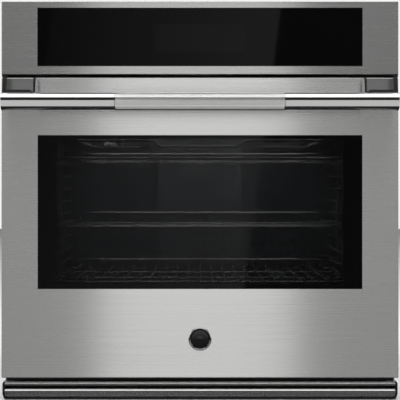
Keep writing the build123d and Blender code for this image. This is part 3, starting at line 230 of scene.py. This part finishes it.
def galvanised():
    """Zinc-coated sheet with its crystal spangle."""
    f = Finish("galvanised_sheet")
    spangle = f.node("ShaderNodeTexVoronoi", {"Vector": f.place(), "Scale": 70.0}, out="Color")
    flake = f.node("ShaderNodeRGBToBW", [spangle])
    haze = f.noise(f.place(), scale=9.0, detail=4.0)
    tone = flake * 0.6 + haze * 0.4
    return f.set(
        Base_Color=f.blend(tone, (0.46, 0.47, 0.48), (0.70, 0.71, 0.72)),
        Metallic=0.45,
        Roughness=flake * 0.18 + 0.36,
        Normal=f.bump(haze, 0.12, 0.0008),
    )


def trim_metal():
    """Drawn aluminium of the vent trim, with painted shade: black on its bottom lip and behind its
    blades.
    """
    f = Finish("trim_aluminium")
    streaks = f.noise(f.stretched((3.0, 300.0, 300.0)), detail=3.0)
    _, y, z = f.axes()
    # painted shade: black below the lip's top and deeper than the blades' fronts, where the gaps and
    # the underside fall into shade
    painted_shade = f.either(z < LIP_SHADE_TOP, y > BLADE_SHADE_DEPTH)
    metal = f.blend(streaks, (0.60, 0.60, 0.595), (0.72, 0.72, 0.715))
    return f.set(
        Base_Color=f.blend(painted_shade, metal, (0.006, 0.006, 0.006)),
        Metallic=1.0 - painted_shade,
        Roughness=streaks * 0.08 + 0.2,
        Normal=f.bump(streaks, 0.05, 0.0001),
    )


def post_metal():
    """Cast handle post: a satin block over a bright foot that continues the bar. The block's darker
    colour is painted shade.
    """
    f = Finish("post_metal")
    smear = f.noise(f.stretched((6.0, 60.0, 60.0)), detail=3.0)
    _, _, z = f.axes()
    satin_shaded_block = z > POST_STEP
    bright = f.blend(smear, (0.75, 0.75, 0.745), (0.8, 0.8, 0.795))
    return f.set(
        # painted shade: the block above the step is coloured much darker than the foot
        Base_Color=f.blend(satin_shaded_block, bright, (0.29, 0.29, 0.287)),
        Metallic=1.0,
        Roughness=satin_shaded_block * 0.16 + (smear * 0.05 + 0.07),
        Normal=f.bump(smear, 0.04, 0.0001),
    )


def painted(name, colour, rough=0.45, coat=0.0):
    """Baked paint or enamel with a fine orange-peel surface."""
    f = Finish(name)
    peel = f.noise(f.place(), scale=900.0, detail=2.0)
    wear = f.noise(f.place(), scale=14.0, detail=4.0)
    dark = tuple(c * 0.82 for c in colour)
    light = tuple(min(1.0, c * 1.15) for c in colour)
    return f.set(
        Base_Color=f.blend(wear, dark, light),
        Roughness=wear * 0.14 + rough,
        Coat_Weight=coat,
        Coat_Roughness=0.12,
        Normal=f.bump(peel, 0.1, 0.00015),
    )


def speckled_enamel():
    """Dark grey-blue cavity enamel with pale specks fired into it."""
    f = Finish("cavity_enamel")
    specks = f.node("ShaderNodeTexVoronoi", {"Vector": f.place(), "Scale": 420.0}, out="Distance")
    choice = f.noise(f.place(), scale=260.0, detail=1.0)
    mask = (specks < 0.2) * (choice > 0.56)
    wave = f.noise(f.place(), scale=30.0, detail=2.0)
    return f.set(
        Base_Color=f.blend(mask, (0.060, 0.064, 0.072), (0.30, 0.31, 0.33)),
        Roughness=wave * 0.1 + 0.24,
        Coat_Weight=0.4,
        Coat_Roughness=0.1,
        Normal=f.bump(wave, 0.1, 0.0006),
    )


def window_glass():
    """Tinted outer pane: an opaque printed border round a partly clear view area."""
    f = Finish("door_window_glass")
    x, _, z = f.axes()
    across = abs(x) < VIEW_HALF
    middle = (VIEW_LOW + VIEW_HIGH) / 2
    upright = abs(z - middle) < (VIEW_HIGH - VIEW_LOW) / 2
    view = across * upright
    smudge = f.noise(f.place(), scale=8.0, detail=3.0)
    return f.set(
        Base_Color=(0.004, 0.004, 0.0045),
        Roughness=smudge * 0.02 + 0.025,
        IOR=1.5,
        Alpha=1.0 - view * 0.34,
    )


def black_glass():
    """Opaque black control glass with a barely lighter display area."""
    f = Finish("control_glass")
    x, _, z = f.axes()
    inside = (abs(x) < DISPLAY_HALF) * (abs(z - DISPLAY_MIDDLE) < DISPLAY_TALL / 2)
    smudge = f.noise(f.place(), scale=8.0, detail=3.0)
    return f.set(
        Base_Color=f.blend(inside, (0.0035, 0.0035, 0.004), (0.0065, 0.0068, 0.0072)),
        Roughness=smudge * 0.02 + 0.025,
        IOR=1.5,
    )


def clear_glass(name, alpha=0.08, tint=(0.55, 0.62, 0.6)):
    f = Finish(name)
    film = f.noise(f.place(), scale=6.0, detail=3.0)
    return f.set(Base_Color=tint, Roughness=film * 0.03 + 0.02, IOR=1.5, Alpha=alpha)


def fibre_blanket():
    """Glass-fibre wool: tangled pale strands."""
    f = Finish("glass_fibre")
    strands = f.noise(f.stretched((90.0, 420.0, 420.0)), detail=6.0)
    tufts = f.noise(f.place(), scale=40.0, detail=5.0)
    return f.set(
        Base_Color=f.blend(strands * 0.6 + tufts * 0.4, (0.52, 0.46, 0.30), (0.86, 0.80, 0.62)),
        Roughness=0.95,
        Sheen_Weight=0.3,
        Normal=f.bump(strands + tufts, 0.8, 0.002),
    )


def heater_tube():
    """Oxidised element sheath, mottled grey-brown."""
    f = Finish("element_sheath")
    scale = f.noise(f.place(), scale=120.0, detail=5.0)
    return f.set(
        Base_Color=f.blend(scale, (0.055, 0.050, 0.048), (0.17, 0.15, 0.14)),
        Metallic=0.4,
        Roughness=scale * 0.25 + 0.4,
        Normal=f.bump(scale, 0.3, 0.0003),
    )


def woven_seal():
    """Glass-fibre sleeve of the door seal."""
    f = Finish("braided_seal")
    fuzz = f.noise(f.place(), scale=900.0, detail=3.0)
    return f.set(
        Base_Color=f.blend(fuzz, (0.05, 0.05, 0.05), (0.16, 0.16, 0.16)),
        Roughness=0.9,
        Normal=f.bump(fuzz, 0.6, 0.0006),
    )


def circuit_board():
    """Green solder mask with a faint maze of tracks."""
    f = Finish("circuit_board")
    tracks = f.node("ShaderNodeTexVoronoi", {"Vector": f.place(), "Scale": 180.0}, distance="MANHATTAN")
    return f.set(
        Base_Color=f.blend(tracks > 0.35, (0.010, 0.09, 0.035), (0.03, 0.2, 0.08)),
        Roughness=0.4,
        Coat_Weight=0.3,
    )


def moulded(name, colour):
    f = Finish(name)
    texture = f.noise(f.place(), scale=1200.0, detail=2.0)
    return f.set(
        Base_Color=f.blend(texture, tuple(c * 0.8 for c in colour), colour),
        Roughness=texture * 0.15 + 0.45,
        Normal=f.bump(texture, 0.15, 0.0001),
    )


# ------------------------------------------------------------------ mesh helpers
def new_mesh(name, vertices, faces, material, smooth=False):
    mesh = bpy.data.meshes.new(name)
    mesh.from_pydata(vertices, [], faces)
    mesh.validate()
    mesh.materials.append(material)
    mesh.polygons.foreach_set("use_smooth", [smooth] * len(mesh.polygons))
    mesh.update()
    piece = bpy.data.objects.new(name, mesh)
    bpy.context.scene.collection.objects.link(piece)
    return piece


def bevelled(piece, width, segments=2, angle=35.0):
    """Rounds a piece's sharp edges without touching its mesh."""
    rounder = piece.modifiers.new("edge_round", "BEVEL")
    rounder.width = width
    rounder.segments = segments
    rounder.limit_method = "ANGLE"
    rounder.angle_limit = radians(angle)
    rounder.harden_normals = False
    return piece


def turned(name, outline, centre, axis, material, steps=96):
    """A closed turned shape. outline lists (distance along the axis, radius)."""
    along = Vector(axis).normalized()
    side = along.orthogonal().normalized()
    up = along.cross(side)
    vertices, faces = [], []
    count = len(outline)
    for step in range(steps):
        turn = tau * step / steps
        spoke = side * cos(turn) + up * sin(turn)
        vertices += [Vector(centre) + along * a + spoke * r for a, r in outline]
    for step in range(steps):
        here, there = step * count, (step + 1) % steps * count
        for k in range(count - 1):
            faces.append((here + k, here + k + 1, there + k + 1, there + k))
    faces.append([step * count for step in range(steps)][::-1])
    faces.append([step * count + count - 1 for step in range(steps)])
    return new_mesh(name, vertices, faces, material, smooth=True)


# ------------------------------------------------------------------ knurled grip
def make_grip(material):
    """Diamond-knurled sleeve: every diamond is a flat-topped pyramid on two crossing helices."""
    low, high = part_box("handle_sleeve")
    centre = (low + high) / 2
    crest = (high.z - low.z) / 2 - 0.00005
    root = crest - 0.0004
    length = high.x - low.x
    around = 29
    pitch = tau * crest / around
    columns = int(length / pitch)
    pitch = (length - 0.0004) / columns
    top_share = 0.62

    def point(u, v, radius):
        x = low.x + 0.0002 + pitch * u / 2
        turn = tau * v / (2 * around)
        return Vector((x, centre.y - radius * cos(turn), centre.z + radius * sin(turn)))

    vertices, faces = [], []
    for u in range(0, 2 * columns + 1):
        for v in range(2 * around):
            if (u + v) % 2:
                continue
            corners = [(u - 1, v), (u, v - 1), (u + 1, v), (u, v + 1)]
            corners = [(min(max(a, 0), 2 * columns), b) for a, b in corners]
            base = len(vertices)
            vertices += [point(a, b, root) for a, b in corners]
            tops = [(u + (a - u) * top_share, v + (b - v) * top_share) for a, b in corners]
            vertices += [point(a, b, crest) for a, b in tops]
            faces.append((base + 4, base + 5, base + 6, base + 7))
            for k in range(4):
                after = (k + 1) % 4
                faces.append((base + k, base + after, base + 4 + after, base + 4 + k))
    grip = new_mesh("knurled_grip", vertices, faces, material)
    weld = grip.modifiers.new("weld", "WELD")
    weld.merge_threshold = 0.00002
    core = [(0.0, root - 0.002), (0.0, root), (length, root), (length, root - 0.002)]
    body = turned("grip_core", core, (low.x, centre.y, centre.z), (1, 0, 0), material)
    ends = []
    collar = 0.0022
    for name, start in (("grip_collar_left", low.x), ("grip_collar_right", high.x - collar)):
        lip = 0.0004
        shape = [
            (0.0, root - 0.002),
            (0.0, crest - lip),
            (lip, crest + 0.00004),
            (collar - lip, crest + 0.00004),
            (collar, crest - lip),
            (collar, root - 0.002),
        ]
        ends.append(turned(name, shape, (start, centre.y, centre.z), (1, 0, 0), finish["collar"]))
    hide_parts("handle_sleeve")
    for piece in (grip, body, *ends):
        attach(piece, "door")


# ------------------------------------------------------------------ plain badge
def make_badge():
    """A plain dark disc in a bright ring, with no mark on it."""
    low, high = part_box("door_badge")
    centre = Vector(((low.x + high.x) / 2, high.y, (low.z + high.z) / 2))
    radius = (high.x - low.x) / 2
    depth = high.y - low.y
    rim = [
        (0.0, radius - 0.0006),
        (depth * 0.45, radius),
        (depth * 0.8, radius - 0.0004),
        (depth, radius - 0.0016),
        (depth * 0.92, radius - 0.0030),
        (depth * 0.6, radius - 0.0034),
    ]
    dish = [
        (0.0, radius - 0.0036),
        (depth * 0.62, radius - 0.0036),
        (depth * 0.7, radius * 0.7),
        (depth * 0.74, radius * 0.35),
        (depth * 0.75, radius * 0.02),
    ]
    ring = turned("badge_ring", rim, centre, (0, -1, 0), finish["chrome"])
    face = turned("badge_face", dish, centre, (0, -1, 0), finish["badge"])
    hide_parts("door_badge")
    for piece, slot in ((ring, "chrome"), (face, "black_trim")):
        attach(piece, "door")


# ------------------------------------------------------------------ black fillers beside the gaps: painted shade
def upright(name, outline, low_z, high_z, material):
    """A closed outline in plan, raised from one height to another."""
    count = len(outline)
    vertices = [(x, y, z) for z in (low_z, high_z) for x, y in outline]
    faces = [tuple(range(count))[::-1], tuple(range(count, 2 * count))]
    faces += [(k, (k + 1) % count, (k + 1) % count + count, k + count) for k in range(count)]
    return new_mesh(name, vertices, faces, material)


def make_shade_fillers(material):
    """Folded corners at the air gap's ends, and side flanges carried down beside the trim. They are
    painted shade: black pieces placed where the gaps hold only shade.
    """
    skin_low, skin_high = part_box("door_skin")
    fascia_low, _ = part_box("control_fascia")
    frame_low, frame_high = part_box("front_frame")
    rail_low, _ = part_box("mounting_rails")
    edge = skin_high.x - 0.8 * MM
    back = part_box("door_liner")[1].y
    fold = 1.5 * MM
    for side, hand in ((-1, "left"), (1, "right")):
        tongue = [
            (edge, skin_low.y + 0.9 * MM),
            (edge, back),
            (edge - 14 * MM, back),
            (edge - 14 * MM, back - fold),
            (edge - fold, back - fold),
            (edge - fold, skin_low.y + 3 * MM),
            (edge - 10 * MM, skin_low.y + 3 * MM),
            (edge - 10 * MM, skin_low.y + 0.9 * MM),
        ]
        inner, plate = frame_high.x + 0.2 * MM, frame_low.y + 3.2 * MM
        flange = [
            (inner, plate),
            (edge, plate),
            (edge, plate + 12 * MM),
            (edge - fold, plate + 12 * MM),
            (edge - fold, plate + fold),
            (inner, plate + fold),
        ]
        top, floor = fascia_low.z - 0.2 * MM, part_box("vent_trim")[0].z
        for name, outline, low_z, high_z in (
            ("gap_corner_" + hand, tongue, skin_high.z + 0.9 * MM, top),
            ("lower_flange_" + hand, flange, floor, rail_low.z - 0.2 * MM),
        ):
            placed = [(side * x, y) for x, y in outline][::-side]
            piece = bevelled(upright(name, placed, low_z, high_z, material), 0.25 * MM)
            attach(piece, "chassis")


# ------------------------------------------------------------------ window and display places
pane_low, pane_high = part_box("door_outer_glass")
PANE_LAP = 6 * MM
BORDER_SIDE = 36 * MM
BORDER_LOW = 9.5 * MM
BORDER_HIGH = 6 * MM
VIEW_HALF = pane_high.x - PANE_LAP - BORDER_SIDE
VIEW_LOW = pane_low.z + PANE_LAP + BORDER_LOW
VIEW_HIGH = pane_high.z - PANE_LAP - BORDER_HIGH
panel_low, panel_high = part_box("panel_glass")
DISPLAY_HALF = 87 * MM
DISPLAY_TALL = 54 * MM
DISPLAY_MIDDLE = (panel_low.z + panel_high.z) / 2 - 2 * MM

# Where painted shade begins: the post's darker block above the bar, the trim's black lip and the black
# behind its blades
POST_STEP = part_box("handle_bar")[1].z + 0.5 * MM
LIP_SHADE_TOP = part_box("vent_trim")[0].z + 4.2 * MM
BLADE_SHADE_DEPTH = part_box("vent_trim")[0].y + 8.5 * MM

finish = {
    "steel": brushed_steel("brushed_steel_sheet", 0.62, 0.20, (2.5, 420.0, 420.0), spread=0.98),
    "chrome": polished("bright_chrome", 0.8, 0.07),
    "post": post_metal(),
    "collar": polished("turned_steel", 0.6, 0.16),
    "knurl": polished("knurled_steel", 0.93, 0.11),
    "rack_wire": polished("rack_wire", 0.42, 0.28),
    "trim": trim_metal(),
    "trim_black": painted("satin_black", (0.012, 0.012, 0.013), 0.35),
    "badge": painted("badge_black", (0.010, 0.010, 0.011), 0.12, coat=0.8),
    "galvanised": galvanised(),
    "zinc": polished("zinc_plate", 0.5, 0.3, 0.97),
    "frame_paint": painted("frame_paint", (0.02, 0.02, 0.021), 0.4),
    "enamel": speckled_enamel(),
    "baffle": painted("baffle_enamel", (0.10, 0.105, 0.115), 0.3, coat=0.4),
    "liner": painted("door_liner_enamel", (0.05, 0.052, 0.056), 0.22, coat=0.5),
    "window": window_glass(),
    "panel": black_glass(),
    "clear": clear_glass("clear_pane"),
    "lens": clear_glass("lamp_lens_glass", 0.35, (0.8, 0.82, 0.8)),
    "fibre": fibre_blanket(),
    "heater": heater_tube(),
    "seal": woven_seal(),
    "board": circuit_board(),
    "plastic": moulded("black_plastic", (0.03, 0.03, 0.032)),
    "rubber": moulded("foot_rubber", (0.02, 0.02, 0.02)),
    "motor": painted("motor_lacquer", (0.10, 0.10, 0.105), 0.5),
    "aluminium": brushed_steel("fan_aluminium", 0.6, 0.35, (200.0, 200.0, 200.0), spread=0.0),
}

DRESS = {
    "steel": ["control_fascia", "door_skin"],
    "chrome": ["handle_bar"],
    "post": ["handle_post_left", "handle_post_right"],
    "knurl": ["handle_sleeve"],
    "rack_wire": ["rack_lower", "rack_middle", "rack_upper", "rack_ladders", "temperature_probe"],
    "trim": ["vent_trim"],
    "trim_black": ["trim_caps"],
    "badge": ["door_badge"],
    "galvanised": [
        "base_pan",
        "side_panel_left",
        "side_panel_right",
        "rear_panel",
        "top_cover",
        "component_shelf",
        "blower_housing",
        "air_duct",
        "console_bracket",
        "junction_box",
        "vent_tube",
        "lamp_housings",
    ],
    "zinc": [
        "hinge_receivers",
        "hinge_arms",
        "hinge_channels",
        "hinge_springs",
        "handle_screws",
        "chassis_screws",
        "latch_hook",
    ],
    "frame_paint": ["front_frame", "mounting_rails", "glass_retainer"],
    "enamel": ["cavity_liner"],
    "baffle": ["fan_baffle"],
    "liner": ["door_liner"],
    "window": ["door_outer_glass"],
    "panel": ["panel_glass"],
    "clear": ["door_middle_glass", "door_inner_glass"],
    "lens": ["lamp_lenses"],
    "fibre": ["insulation_blanket"],
    "heater": ["broil_element", "bake_element", "convection_element"],
    "seal": ["door_gasket"],
    "board": ["display_module", "control_board"],
    "plastic": ["latch_motor", "door_switch", "switch_plunger"],
    "rubber": ["support_feet"],
    "motor": ["fan_motors", "blower_motor"],
    "aluminium": ["fan_lower", "fan_upper", "blower_wheel"],
}
for key, names in DRESS.items():
    for name in names:
        piece = NODES[name]
        piece.data.materials.clear()
        piece.data.materials.append(finish[key])

for name, width in (
    ("handle_post_left", 0.8),
    ("handle_post_right", 0.8),
    ("vent_trim", 0.35),
    ("trim_caps", 0.6),
    ("door_liner", 0.3),
):
    bevelled(NODES[name], width * MM)

make_grip(finish["knurl"])
make_badge()
# painted shade: black pieces in the door's air gap and beside the trim
make_shade_fillers(finish["trim_black"])


# ------------------------------------------------------------------ room, light and camera
def lit_group(name, pieces):
    """A collection of pieces that a lamp may be kept to."""
    group = bpy.data.collections.new(name)
    for piece in pieces:
        group.objects.link(piece)
    return group


def softbox(name, place, target, size, radiance, only=None, roll=0.0):
    """A rectangular lamp of a given radiance that faces its target, rolled about its axis."""
    lamp = bpy.data.lights.new(name, "AREA")
    lamp.shape = "RECTANGLE"
    lamp.size, lamp.size_y = size
    lamp.energy = radiance * 4 * size[0] * size[1]
    light = bpy.data.objects.new(name, lamp)
    light.location = place
    aim = (Vector(target) - Vector(place)).to_track_quat("-Z", "Y")
    light.rotation_euler = (aim @ Euler((0, 0, roll)).to_quaternion()).to_euler()
    bpy.context.scene.collection.objects.link(light)
    if only is not None:
        light.light_linking.receiver_collection = only
    return light


def fade_across(light, left, right):
    """Makes a lamp's radiance change evenly from its left end to its right."""
    light.data.use_nodes = True
    tree = light.data.node_tree
    where = tree.nodes.new("ShaderNodeNewGeometry")
    split = tree.nodes.new("ShaderNodeSeparateXYZ")
    share = tree.nodes.new("ShaderNodeMapRange")
    share.inputs["To Min"].default_value = left
    share.inputs["To Max"].default_value = right
    tree.links.new(where.outputs["Parametric"], split.inputs[0])
    tree.links.new(split.outputs["X"], share.inputs["Value"])
    tree.links.new(share.outputs[0], tree.nodes["Emission"].inputs["Strength"])


def make_stage():
    """A pale floor, and glowing walls that only the camera sees."""
    backdrop = Finish("backdrop_paper").set(Base_Color=(0.92, 0.92, 0.92), Roughness=0.9)
    half, top = 9.0, 7.0
    square = [(-half, -half), (half, -half), (half, half), (-half, half)]
    floor = new_mesh("studio_floor", [(x, y, 0) for x, y in square], [(0, 1, 2, 3)], backdrop)
    floor.visible_glossy = False
    floor.visible_shadow = False
    glow = Finish("backdrop_glow").set(
        Base_Color=(0, 0, 0),
        Emission_Color=(1, 1, 1),
        Emission_Strength=0.86,
    )
    rings = [(x, y, z) for z in (0, top) for x, y in square]
    sides = [(k, (k + 1) % 4, (k + 1) % 4 + 4, k + 4) for k in range(4)]
    walls = new_mesh("studio_walls", rings, sides, glow)
    walls.visible_diffuse = walls.visible_glossy = False
    walls.visible_transmission = walls.visible_shadow = False
    floor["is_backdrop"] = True
    walls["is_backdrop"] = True
    world = bpy.data.worlds.new("studio")
    world.use_nodes = True
    world.node_tree.nodes["Background"].inputs[0].default_value = (1, 1, 1, 1)
    world.node_tree.nodes["Background"].inputs[1].default_value = 0.02
    bpy.context.scene.world = world
    return floor


def make_lights(floor):
    """Softboxes, most of them kept to one group of pieces. A radiance follows each box's size."""
    steel = lit_group("lit_steel", [NODES["door_skin"]])
    fascia = lit_group("lit_fascia", [NODES["control_fascia"]])
    panes = lit_group("lit_panes", [NODES["door_outer_glass"], NODES["panel_glass"]])
    trim = lit_group("lit_trim", [NODES["vent_trim"]])
    handle_names = ("handle_bar", "handle_post", "grip_", "knurled_")
    grips = [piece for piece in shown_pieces() if piece.name.startswith(handle_names)]
    handle = lit_group("lit_handle", grips)
    groups = (steel, fascia, panes, trim, handle)
    apart = {piece for group in groups for piece in group.objects}
    front = lit_group("lit_front", apart - set(panes.objects))
    rest = lit_group("lit_rest", [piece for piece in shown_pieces() if piece not in apart])
    paper = lit_group("lit_paper", [floor])

    softbox("overhead", (0, -0.445, 2.565), (0, -0.445, 0), (3.2, 2.55), 1.5)
    softbox("steel_band", (-0.012, -2.9, 0.5), (-0.012, 0, 0.5), (0.81, 3.2), 0.53, steel)
    softbox("steel_wide", (0, -3.0, 0.6), (0, 0, 0.6), (7.0, 5.6), 0.31, steel)
    softbox("fascia_band", (-0.03, -2.9, 0.5), (-0.03, 0, 0.5), (0.86, 3.2), 0.46, fascia)
    softbox("fascia_wide", (-0.3, -3.0, 0.6), (-0.3, 0, 0.6), (6.0, 5.6), 0.16, fascia)
    edge_lean = radians(-7.5)
    sheen_place, sheen_aim = (-0.198, -2.7835, 0.619), (-0.198, 0, 0.619)
    sheen = softbox("pane_sheen", sheen_place, sheen_aim, (0.9, 3.0), 0.18, panes, edge_lean)
    fade_across(sheen, 0.15, 1.0)
    softbox("handle_front", (0, -0.819, 0.324), (0, -0.3245, 0.565), (3.0, 0.92), 0.46, handle)
    softbox("trim_front", (0, -2.4, 1.2), (0, 0, 0.03), (4.0, 2.6), 0.9, trim)
    softbox("front_fill", (0, -3.2, 1.0), (0, 0, 0.4), (3.0, 2.4), 0.35, rest)
    for group, strength in ((rest, 1.7), (front, 0.9)):
        softbox("left_fill", (-3.2, 0.2, 1.2), (0, 0, 0.4), (3.5, 2.4), strength, group)
        softbox("right_fill", (3.2, 0.2, 1.2), (0, 0, 0.4), (3.5, 2.4), strength, group)
        softbox("rear_fill", (0, 3.0, 1.4), (0, 0, 0.4), (3.0, 2.4), strength, group)
    softbox("paper_wash", (0, 0, 6.0), (0, 0, 0), (12.0, 12.0), 0.9, paper)
    softbox("cavity_glow", (0, 0.0, 0.52), (0, 0, 0.2), (0.52, 0.38), 3.1)


def make_camera():
    """Straight at the front. The shift centres the object without tilting the view."""
    face_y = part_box("door_skin")[0].y
    distance, eye = 2.3, 0.406
    seen = 0.7615
    data = bpy.data.cameras.new("camera")
    data.sensor_width = 36.0
    data.lens = data.sensor_width * distance / seen
    data.shift_y = ((cad_low.z + cad_high.z) / 2 + 0.001 - eye) / seen
    camera = bpy.data.objects.new("camera", data)
    camera.location = (0, face_y - distance, eye)
    camera.rotation_euler = (pi / 2, 0, 0)
    bpy.context.scene.collection.objects.link(camera)
    bpy.context.scene.camera = camera
    data.clip_end = 50


make_lights(make_stage())
make_camera()
bpy.context.scene.view_settings.view_transform = "Standard"
